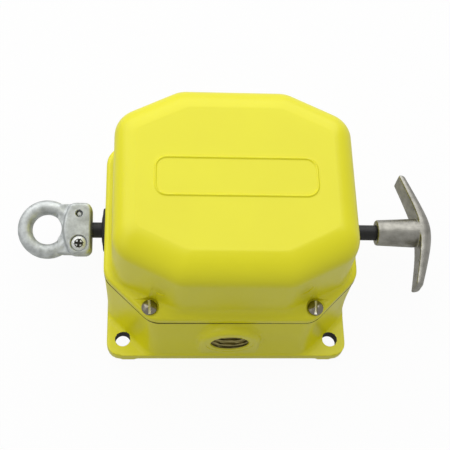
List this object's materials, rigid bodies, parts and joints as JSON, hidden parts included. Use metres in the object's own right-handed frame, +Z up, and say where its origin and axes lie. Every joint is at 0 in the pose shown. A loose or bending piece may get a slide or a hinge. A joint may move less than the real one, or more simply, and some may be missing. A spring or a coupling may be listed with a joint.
{
  "type": "rope pull switch",
  "caption": "Cast two-part housing with a sliding shaft through it, a swivelling rope eye at one end, a swept T-handle at the other and a threaded conduit entry.",
  "frame": {"origin": "centre of the four mounting holes on the plane that the foot's pads stand on", "axes": "+X along the shaft towards the T-handle, +Y away from the conduit entry, +Z up through the cover"},
  "size_m": [0.269, 0.154, 0.1067],
  "materials": {
    "yellow_enamel": "smooth satin-gloss enamel over an aluminium sand casting",
    "cast_aluminium": "tumbled casting, satin",
    "plated_steel": "bright zinc or nickel plate",
    "sheet_steel": "zinc-plated sheet",
    "black_steel": "black-oxide turned bar, oiled",
    "spring_steel": "drawn wire",
    "black_rubber": "moulded nitrile rubber",
    "bronze": "turned bearing bronze",
    "phenolic": "moulded phenolic",
    "red_nylon": "moulded nylon",
    "black_nylon": "moulded nylon",
    "brass": "turned brass",
    "green_steel": "green passivated screw"
  },
  "bodies": {
    "root": {"base_housing": "yellow_enamel", "cover": "yellow_enamel", "cover_gasket": "black_rubber", "cover_screws": "plated_steel", "left_bushing": "bronze", "right_bushing": "bronze", "left_wiper_seal": "black_rubber", "right_wiper_seal": "black_rubber", "switch_bracket": "sheet_steel", "bracket_screws": "plated_steel", "lever_pin": "plated_steel", "lever_pin_clip": "spring_steel", "front_snap_switch": "phenolic", "rear_snap_switch": "phenolic", "switch_screws": "plated_steel", "terminal_screws": "brass", "ground_screw": "green_steel", "pull_spring": "spring_steel", "slack_spring": "spring_steel"},
    "shaft": {"shaft": "black_steel", "t_handle": "cast_aluminium", "handle_set_screw": "plated_steel", "trip_collar": "plated_steel", "collar_pin": "plated_steel", "spring_washers": "plated_steel"},
    "eye": {"eye_front_half": "cast_aluminium", "eye_back_half": "cast_aluminium", "eye_clamp_screws": "plated_steel"},
    "lever": {"trip_lever": "sheet_steel", "lever_rollers": "black_nylon", "roller_pins": "plated_steel"},
    "front_plunger": {"front_plunger": "red_nylon"},
    "rear_plunger": {"rear_plunger": "red_nylon"}
  },
  "joints": [
    {"name": "shaft_slide", "type": "slide", "parent": "root", "child": "shaft", "axis": [1, 0, 0], "range_m": [-0.012, 0.005], "stiffness_N_per_m": 4000, "deforming": ["pull_spring", "slack_spring"]},
    {"name": "eye_swivel", "type": "hinge", "parent": "shaft", "child": "eye", "pos_m": [-0.1155, 0, 0.0305], "axis": [1, 0, 0], "continuous": true},
    {"name": "lever_swing", "type": "hinge", "parent": "root", "child": "lever", "pos_m": [0, 0, 0.0607], "axis": [0, 1, 0], "range_deg": [-10, 24]},
    {"name": "front_plunger_press", "type": "slide", "parent": "root", "child": "front_plunger", "axis": [0, 0, 1], "range_m": [-0.0016, 0.0037]},
    {"name": "rear_plunger_press", "type": "slide", "parent": "root", "child": "rear_plunger", "axis": [0, 0, 1], "range_m": [-0.0037, 0.0016]}
  ],
  "couplings": [
    {"joint": "lever_swing", "follows": "shaft_slide", "rad_per_m": -34.1},
    {"joint": "front_plunger_press", "follows": "shaft_slide", "ratio": -0.3},
    {"joint": "rear_plunger_press", "follows": "shaft_slide", "ratio": 0.3}
  ]
}
